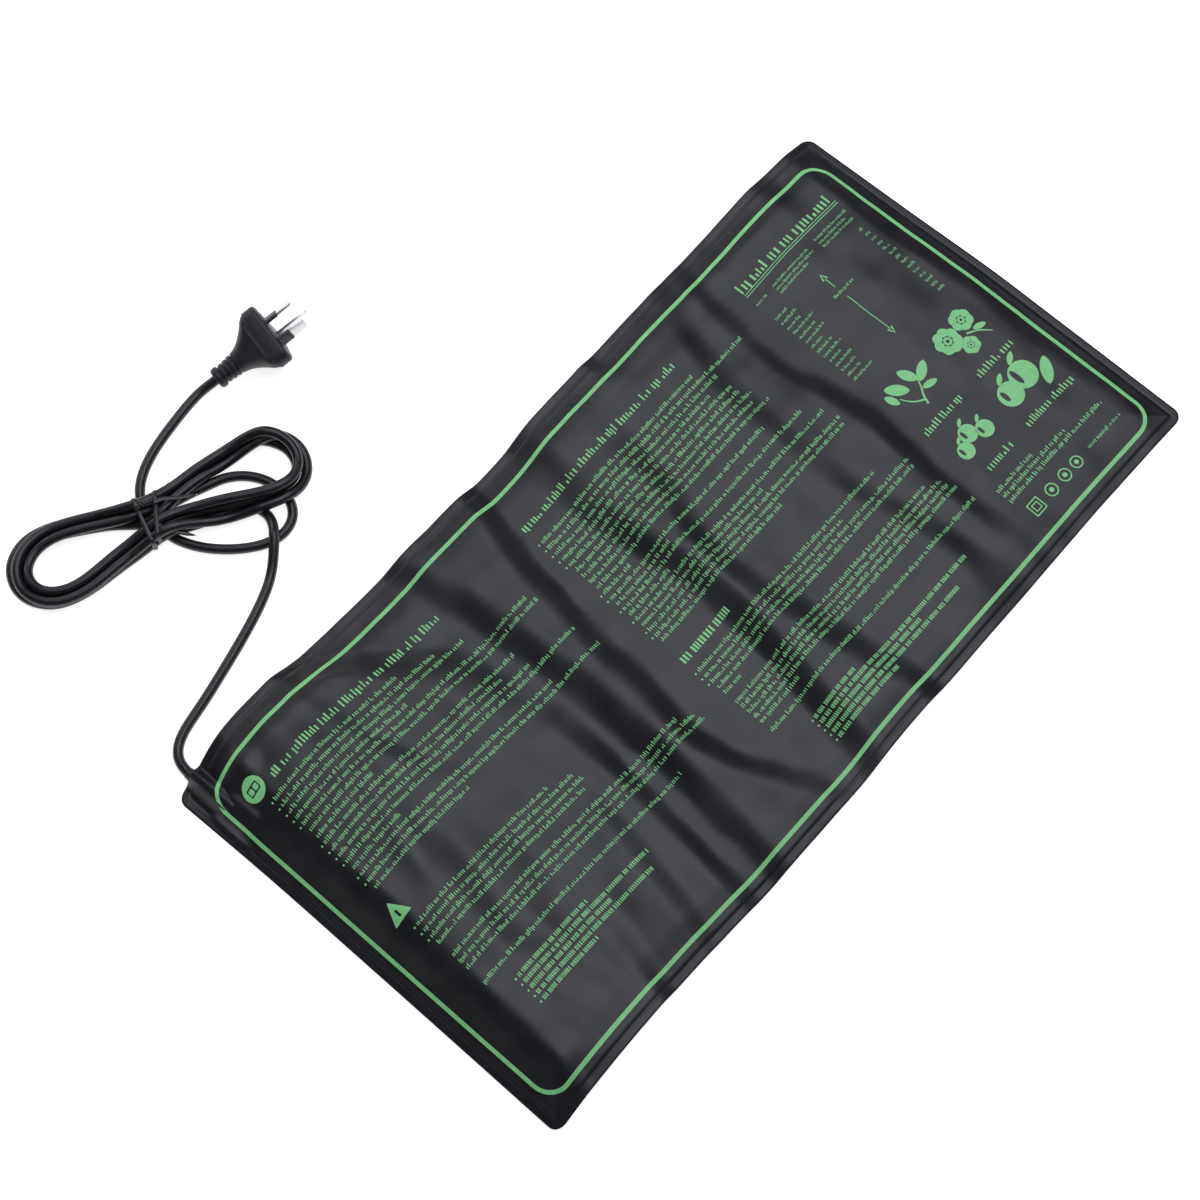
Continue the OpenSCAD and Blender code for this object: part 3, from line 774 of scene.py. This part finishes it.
def make_terminals():
    """The eyelet rivets on the bus bars, and the two leads that run to them under the top sheet."""
    profile = [(0.9, 0), (1.2, 0.05), (1.2, 0.16), (2.2, 0.2), (2.4, 0.3), (2.2, 0.42), (1.3, 0.5),
               (0.6, 0.3)]
    rivets = [turned(profile, lay(TERMINAL_X, side * BUS_Y, COVER_Z[0])) for side in (-1, 1)]
    piece("terminal_eyelets", *join(rivets), RIVET, "rivet_metal", ["terminal_rivets"])
    for name, node, mat, slot, route in (
            ("brown_live_lead", "live_lead", BROWN, "core_brown",
             [(-237, 98, 1.5), (-235, 103, 1.5), (-233, 107.4, 1.7), (-230, 109.2, 2.2),
              (-226, 109.2, 3.1), (TERMINAL_X, 109, 3.8)]),
            ("blue_neutral_lead", "neutral_lead", BLUE, "core_blue",
             [(-238, 88, 1.4), (-237.4, 80, 1.3), (-236.8, 60, 1.3), (-236.2, 20, 1.3),
              (-236.6, -20, 1.3), (-236.2, -60, 1.3), (-236.5, -98, 1.3), (-235.6, -105, 1.5),
              (-233, -108, 1.9), (-230, -109.2, 2.2), (-226, -109.2, 3.1),
              (TERMINAL_X, -109, 3.8)])):
        line = curve_through(route, 2)
        core = sweep(lay(*line.T), 0.65, 0.65, sides=10)
        piece(name, *core, mat, slot, [node])


def rounded_ring(cx, cy, z, w, l, r, n=6):
    """A level rounded rectangle's outline, with n points round each corner."""
    ring = []
    for k, (sx, sy) in enumerate([(1, 1), (-1, 1), (-1, -1), (1, -1)]):
        for t in np.linspace(0, pi / 2, n):
            a = t + k * pi / 2
            ring.append((cx + sx * (w / 2 - r) + r * cos(a),
                         cy + sy * (l / 2 - r) + r * sin(a), z))
    return np.array(ring)


def make_entry():
    """The junction block and the moulded, tapered boot that the cord comes out of."""
    width, length, corner = 7.4, 13.6, 1.6
    rings = []
    for inset, z in [(0.5, 0.62), (0.1, 0.85), (0, 1.3), (0, 4.2), (0.3, 4.8), (1.2, 5.15)]:
        ring = rounded_ring(ENTRY_X, BLOCK_Y, z, width - 2 * inset, length - 2 * inset,
                            corner - inset * 0.5)
        rings.append(lay(*ring.T))
    piece("junction_moulding", *loft(rings), BLOCK, "pvc_moulded", ["junction_block"])
    s = np.array([103, 104, 108, 114, 120, 126, 129, 130.2, 131.2, 132.4, 133.4, 134])
    half = np.array([2.6, 2.8, 3.0, 3.1, 3.2, 3.3, 3.4, 3.4, 3.3, 3.15, 3.0, 2.88])
    high = np.array([2.1, 2.4, 2.45, 2.45, 2.5, 2.6, 2.8, 2.9, 2.95, 2.95, 2.9, 2.86])
    middle = np.interp(s, [103, 126, 134], [3.9, 3.8, 3.8])
    path = np.stack([np.full(len(s), float(ENTRY_X)), s, middle], 1)
    path[:, 2] += fold_height(path[:, 0], path[:, 1]) * smooth((s[-1] - s) / 12)
    return piece("cord_strain_relief", *sweep(path, half, high, sides=28), BLOCK, "pvc_moulded",
                 ["cord_boot"])


# ======== the cord, in millimetres

CORD_D = 5.6
FLOOR_Z = CORD_D / 2
# The plug: the middle of its face, its turn and its length. It lies tipped on its flange and boot.
PLUG_AT = np.array([-35.8, 264.4, 16.6])
PLUG_L = 40.5
yaw, pitch, roll = (Matrix.Rotation(radians(angle), 3, axis)
                    for angle, axis in ((-13.8, "Z"), (-15, "Y"), (10, "X")))
PLUG_TURN = np.array(yaw @ pitch @ roll)
PLUG_REAR = PLUG_AT - PLUG_L * PLUG_TURN[:, 0]

# Out of the boot and along the floor to the hank, where it slips under the other turns; a point
# without a height lies on the floor
LEAD = [(-240, 134, 3.8), (-239.2, 139.4, 3.5), (-236.8, 144.2, 3.1), (-232.8, 147.9), (-227.4, 150.2),
        (-220.6, 151.6), (-212.5, 153), (-201.4, 155.6), (-189.4, 158.3), (-177, 161.2), (-165, 164.3),
        (-153, 168), (-142, 172), (-132.5, 177), (-125.6, 182.8), (-118.8, 187.6, 9), (-113.8, 193.8, 8),
        (-111.4, 201, 6), (-112.4, 208.6, 4), (-117.6, 214.6, 3), (-126, 219.2), (-136.4, 223.4, 4),
        (-147, 227.4, 6.5)]
# One turn of the hank: round its left end and back through the pinch, then round its right end
LEFT = [(-164, 234), (-173, 236.4), (-182, 238.4), (-192, 239.8), (-201, 241.2), (-209.6, 244.2),
        (-216.8, 248.8), (-221.6, 254.8), (-223.4, 262), (-222, 269.2), (-217.4, 275),
        (-210.6, 278.6), (-203, 279.8), (-195.4, 278.8), (-187.5, 275.6), (-179, 270.4),
        (-170, 264.4), (-162, 258)]
RIGHT = [(-141, 249), (-129, 246.2), (-117, 244), (-105, 241.2), (-96, 238.4), (-88, 235.4),
         (-82, 231), (-78, 225.2), (-76.6, 218.4), (-78.2, 211.4), (-82.8, 205.6),
         (-89.8, 202.2), (-97.4, 202.4), (-105.4, 206.2), (-115, 211.6), (-126, 218.6), (-135, 225),
         (-144, 231)]
# How far each turn lies outside that line, at the places in ALONG, and how high it starts
ALONG = (0.08, 0.3, 0.46, 0.62, 0.86)
LEFT_TURNS = [((0, -1, 2.8, 8.4, 1.6), 8), ((-5.6, -3.8, -0.8, 4, -4), 8),
              ((0, 0.6, 2.4, 3, 0.8), 15), ((-5.6, -3, -0.4, -0.4, -4.6), 19)]
RIGHT_TURNS = [((0, 0.4, 0.6, 0, -1.2), 9), ((-5.6, -2.4, 3.8, 5.2, 4.4), 15),
               ((0, 0.6, 1.6, 1, -3), 22)]
# Where the turns cross the pinch, from its middle towards its upper side, and how high
PINCH = np.array([-153.7, 242.3])
PINCH_ACROSS = np.array([0.162, 0.987])
LOWER_PASS = [(-10.2, 8.6), (-4.4, 8.6), (-10.2, 15), (-4.4, 15)]
UPPER_PASS = [(9.2, 8.6), (3.3, 8.6), (9.2, 15), (3.3, 15)]
# The last, smaller loop slips under the right end, crosses under the pinch and runs to the plug
LAST_LOOP = [(-142, 243.5, 13.5), (-131, 241, 9), (-120, 237.5, 5), (-110, 231.5), (-102.5, 223.5),
             (-98, 214), (-96, 204), (-98, 195.5), (-104, 189), (-112.5, 186.4), (-121, 188.4),
             (-130, 194.2), (-138, 201.6), (-145, 210.2), (-150.4, 220), (-153.4, 230), (-154.2, 240),
             (-153.2, 249)]
TAIL = [(-149.8, 257), (-144.4, 262.8), (-137.5, 266.9), (-129.5, 270.2), (-120, 272.6), (-110, 274.2),
        (-99, 275.6)]


def lobe(line, outside, height):
    """Half a turn: the line moved outwards by the given amounts along it, at one height."""
    p = np.array(line, float)
    heading = unit(np.gradient(p, axis=0))
    outward = np.column_stack([heading[:, 1], -heading[:, 0]])
    if np.dot(outward[len(p) // 2], p[len(p) // 2] - PINCH) < 0:
        outward = -outward
    t = np.linspace(0, 1, len(p))
    moved = p + outward * np.interp(t, ALONG, outside)[:, None]
    return [(x, y, height) for x, y in moved]


def pinch_point(beside, height):
    """A point in the pinch, so far from its middle."""
    return [(*(PINCH + beside * PINCH_ACROSS), height)]


def route():
    """The whole cord's line before it settles, as points."""
    points = LEAD[:]
    for k, (outside, height) in enumerate(LEFT_TURNS):
        points += pinch_point(*LOWER_PASS[k]) + lobe(LEFT, outside, height) + pinch_point(*UPPER_PASS[k])
        if k < len(RIGHT_TURNS):
            points += lobe(RIGHT, *RIGHT_TURNS[k])
    points += LAST_LOOP + TAIL + [PLUG_REAR - 12 * PLUG_TURN[:, 0], PLUG_REAR]
    return [(*p, FLOOR_Z)[:3] for p in points]


def settle(line):
    """Lets the strands push apart to a diameter, sink onto the floor and each other, and stay smooth."""
    p = line.copy()
    n = len(p)
    home = line[:, :2].copy()
    held = np.ones((n, 1))
    held[:4] = held[-6:] = 0
    clear = CORD_D + 0.08
    for i in range(900):
        if i % 15 == 0:
            gap = np.linalg.norm(p[:, None] - p[None], axis=2)
            a, b = np.nonzero(np.triu(gap < 2 * CORD_D, 8))
        pull = np.zeros_like(p)
        pull[:, :2] += 0.06 * (home - p[:, :2])
        pull[:, 2] -= 0.05
        p += pull * held
        for _ in range(10):
            bend = np.zeros_like(p)
            bend[2:-2] = p[:-4] - 4 * p[1:-3] + 6 * p[2:-2] - 4 * p[3:-1] + p[4:]
            p -= 0.11 * bend * held
        for _ in range(3):
            apart = p[a] - p[b]
            gap = np.maximum(np.linalg.norm(apart, axis=1), 0.3)
            push = np.maximum(clear - gap, 0) / gap
            move = np.zeros_like(p)
            touches = np.zeros(n)
            for ends, sign in ((a, 1), (b, -1)):
                np.add.at(move, ends, sign * 0.5 * push[:, None] * apart)
                np.add.at(touches, ends, push > 0)
            p += 0.9 * move / np.maximum(touches, 1)[:, None] ** 0.5 * held
            p[:, 2] = np.maximum(p[:, 2], FLOOR_Z)
    return p


def make_cord():
    """The cord as one curve along its settled line, and that line."""
    fine = curve_through(settle(curve_through(route(), 3.2)), 2.0)
    curve = bpy.data.curves.new("power_cord", "CURVE")
    curve.dimensions = "3D"
    curve.bevel_depth = CORD_D / 2 * MM
    curve.bevel_resolution = 5
    curve.use_fill_caps = True
    spline = curve.splines.new("POLY")
    spline.points.add(len(fine) - 1)
    spline.points.foreach_set("co", np.column_stack([fine * MM, np.ones(len(fine))]).ravel())
    spline.use_smooth = True
    curve.materials.append(JACKET)
    cord = dress(add("power_cord", curve), ["cord_lead", "cord_hank", "cord_tail"])
    return cord, fine


# ======== twist tie round the pinch

def crossings(line, at, normal):
    """Where the cord crosses an upright plane near the pinch, as points in it: across, up."""
    side = np.array([normal[1], -normal[0]])
    s = (line[:, :2] - at) @ normal
    found = []
    for i in np.nonzero(np.diff(np.sign(s)))[0]:
        t = s[i] / (s[i] - s[i + 1])
        p = line[i] + t * (line[i + 1] - line[i])
        if np.linalg.norm(p[:2] - at) < 16:
            found.append((np.dot(p[:2] - at, side), p[2]))
    return np.array(found), side


def band(line, at, normal, lean):
    """One wrap of the tie, a flat strip round the strands that leans across the bundle, and its top."""
    half_width, half_thick, sides = 1.25, 0.38, 12
    centres, side = crossings(line, at, normal)
    round_, _ = wrapped(centres, np.full(len(centres), CORD_D / 2 + 0.35), 72)
    loop = evenly(np.vstack([round_, round_[:1]]), 1.2)[:-1]
    loop[:, 1] = np.maximum(loop[:, 1], 0.45)
    points = []
    for (s, z), (out_s, out_z) in zip(loop, unit(loop - loop.mean(axis=0))):
        middle = np.array([*(at + s * side + normal * lean * s), z])
        out = np.array([*(out_s * side), out_z])
        wide = np.array([*normal, 0])
        points += [tuple(middle + wide * half_width * c + out * half_thick * h) for c, h in around(sides)]
    last = len(points) - sides
    faces = grid_faces(len(loop), sides, wrap=True)
    faces += [(last + j, last + (j + 1) % sides, (j + 1) % sides, j) for j in range(sides)]
    return (points, faces), loop[:, 1].max()


TIE_AT = np.array([-155, 243.5])
TIE_ALONG = np.array([0.879, -0.476])
TIE_ACROSS = np.array([0.476, 0.879])


def make_tie(line):
    """Two wraps, a twisted knot on top, and the strip's two tapered ends with bare wire tips."""
    along = TIE_ALONG
    parts, tops = zip(*(band(line, TIE_AT + shift * along, unit(along), lean)
                        for shift, lean in ((-3.6, 0.10), (4.6, -0.22))))
    parts, top = list(parts), max(tops)
    knot = TIE_AT + 0.5 * along + 5 * TIE_ACROSS
    t = np.linspace(0, 1, 40)
    for phase in (0, pi):
        turn = 4.5 * pi * t + phase
        flat = knot + np.outer(9 * (t - 0.5), along) + np.outer(0.9 * np.cos(turn), TIE_ACROSS)
        parts.append(sweep(np.column_stack([flat, top + 0.6 + 0.9 * np.sin(turn)]), 0.75, 0.75, sides=10))
    ends = [curve_through(route_, 1.0) for route_ in (
        [(*(knot + 4 * along), top + 0.6), (-143, 243, top - 0.5), (-137, 238, top - 2.5),
         (-130, 233, top - 3.2)],
        [(*(TIE_AT + 3.5 * along - 7 * TIE_ACROSS), top - 1.2), (-152.5, 229.5, top - 4.5),
         (-149, 224, top - 6.8), (-146, 219.5, top - 8)])]
    for end in ends:
        taper = np.interp(np.linspace(0, 1, len(end)), (0, 0.8, 1), (1.3, 1.1, 0.45))
        parts.append(sweep(end, taper, 0.42, sides=12))
    tie = piece("twist_tie_strip", *join(parts), TIE, "tie_plastic", ["tie_wire"])
    tips = []
    for end in ends:
        tip = np.array([end[-3], end[-1], end[-1] + 0.9 * unit(end[-1] - end[-3])])
        tips.append(sweep(evenly(tip, 0.4), 0.32, 0.3, sides=10))
    return tie, piece("twist_tie_wire", *join(tips), WIRE, "tie_plastic")


# ======== plug

def in_plug(points):
    """Points given from the middle of the plug's face, X along its pins, as they lie in the scene."""
    return np.asarray(points, float) @ PLUG_TURN.T + PLUG_AT


def make_plug():
    """The moulding, ring by ring from its boot to its face, and the insert in the face."""
    flange, out = wrapped(np.array([(11.75, 4.0), (-11.75, 4.0), (0.0, -6.5)]),
                          np.array([6.5, 6.5, 8.5]), 96)
    rings = []

    def station(x, share, radius, inset=0.0):
        """A ring that is partly round and, by its share, partly like the flange."""
        rings.append(facing_x(x, share * flange + (1 - share) * radius * out - inset * out))

    for x, radius in [(-40.5, 4.6), (-40.35, 5.2), (-39.9, 5.7), (-39.2, 6.0), (-37.4, 6.05),
                      (-36.9, 5.8), (-36.4, 5.2), (-36.3, 4.7), (-35.7, 4.6)]:
        station(x, 0, radius)
    for i, radius in enumerate((5.5, 5.85, 6.15)):
        for x, inset in [(0, 0.9), (0.04, 0.3), (0.16, 0.06), (0.4, 0), (2.0, 0), (2.24, 0.06),
                         (2.36, 0.3), (2.4, 0.9), (2.7, 1.0), (2.98, 0.9)]:
            station(-35.5 + i * 3.0 + x, 0, radius - inset)
    for x, radius in [(-26.5, 5.3), (-26.46, 6.0), (-26.3, 6.35), (-25.8, 6.45)]:
        station(x, 0, radius)
    for t in np.linspace(0, 1, 22)[1:]:
        station(-25.8 + 16.8 * t, min(1, t ** 1.75), 6.45 + 1.2 * t, 0.9 * smooth((t - 0.86) / 0.14))
    for x, inset in [(-8.85, 0.75), (-8.6, 0.95), (-8.35, 0.9), (-8.2, 0.4), (-7.9, 0.1), (-7.4, 0.0),
                     (-5, 0.0)]:
        station(x, 1, 0, inset)
    rim = 2.1
    for turn in np.radians(np.linspace(0, 90, 9)):
        station(rim * (sin(turn) - 1), 1, 0, rim * (1 - cos(turn)))
    station(0.0, 1, 0, 3.4)
    points, faces = loft(rings, flip=True)
    body = piece("plug_moulding", in_plug(points), faces, MOULDED, "plug_pvc", ["plug_body"])
    face_rings = []
    for x, inset in [(-1.0, 0.0), (0.12, 0.0), (0.3, 0.12), (0.36, 0.4)]:
        outline = np.clip(flange - (3.3 + inset) * out, (inset - 11.5, inset - 10.2),
                          (11.5 - inset, 9.8 - inset))
        face_rings.append(facing_x(x, outline))
    points, faces = loft(face_rings, flip=True)
    return [body, piece("plug_pin_carrier", in_plug(points), faces, INSERT, "plug_pvc", ["plug_insert"])]


PIN_W, PIN_T = 6.3, 1.6
PIN_GAP, PIN_UP, PIN_TILT, PIN_L = 13.7, 4.1, 30, 17
EARTH_UP, EARTH_L = -6.2, 20
SLEEVE_L, SLEEVE_WALL = 7.5, 0.4
PIN_ROOT = -2


def blade(length):
    """A flat pin along X with eased edges and a chamfered tip."""
    rings = []
    for x, less_w, less_t in [(PIN_ROOT, 0, 0), (length - 1.3, 0, 0), (length - 0.455, 0.9, 0.5),
                              (length - 0.08, 1.5, 0.9), (length, 1.9, 1.1)]:
        thick = PIN_T - less_t
        rings.append(facing_x(x, rounded_ring(0, 0, 0, thick, PIN_W - less_w, min(0.35, thick / 2 - 0.02),
                                              n=4)))
    return loft(rings, flip=True)


def sleeve():
    """A moulded sleeve round a blade, closed at its front round the metal."""
    rings = []
    for x, grow in [(0, 0.5), (0.5, 0.12), (1.2, 0), (SLEEVE_L - 0.3, 0), (SLEEVE_L - 0.08, -0.1),
                    (SLEEVE_L, -0.3)]:
        grow += SLEEVE_WALL
        rings.append(facing_x(x, rounded_ring(0, 0, 0, PIN_T + 2 * grow, PIN_W + 2 * grow, 0.7 + grow / 2,
                                              n=5)))
    return loft(rings, flip=True)


def placed(points, y, z, tilt):
    """A pin's points moved to its place on the plug's face and tilted about its own length."""
    c, s = cos(radians(tilt)), sin(radians(tilt))
    p = np.asarray(points, float)
    return in_plug(np.column_stack([p[:, 0], c * p[:, 1] - s * p[:, 2] + y,
                                    s * p[:, 1] + c * p[:, 2] + z]))


def make_pins():
    """Two tilted pins with sleeves, and the longer upright earth pin without one."""
    made = []
    for name, side in (("active", 1), ("neutral", -1)):
        for what, (points, faces), mat, slot, node in (
                ("blade", blade(PIN_L), BLADE, "pin_metal", "pin"),
                ("cover", sleeve(), SLEEVE, "sleeve_plastic", "sleeve")):
            points = placed(points, side * PIN_GAP / 2, PIN_UP, side * PIN_TILT)
            made.append(piece(f"{what}_{name}", points, faces, mat, slot, [f"{node}_{name}"]))
    points, faces = blade(EARTH_L)
    made.append(piece("blade_earth", placed(points, 0, EARTH_UP, 0), faces, BLADE, "pin_metal",
                      ["pin_earth"]))
    return made


# ======== build

make_sheets()
make_print()
make_heater()
make_terminals()
boot = make_entry()
cord, cord_line = make_cord()
tie = make_tie(cord_line)
plug = make_plug()
pins = make_pins()
for node_name, core_mat in (("plug_core_active", BROWN), ("plug_core_neutral", BLUE)):
    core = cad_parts[node_name]
    for s in core.material_slots:
        s.material = core_mat
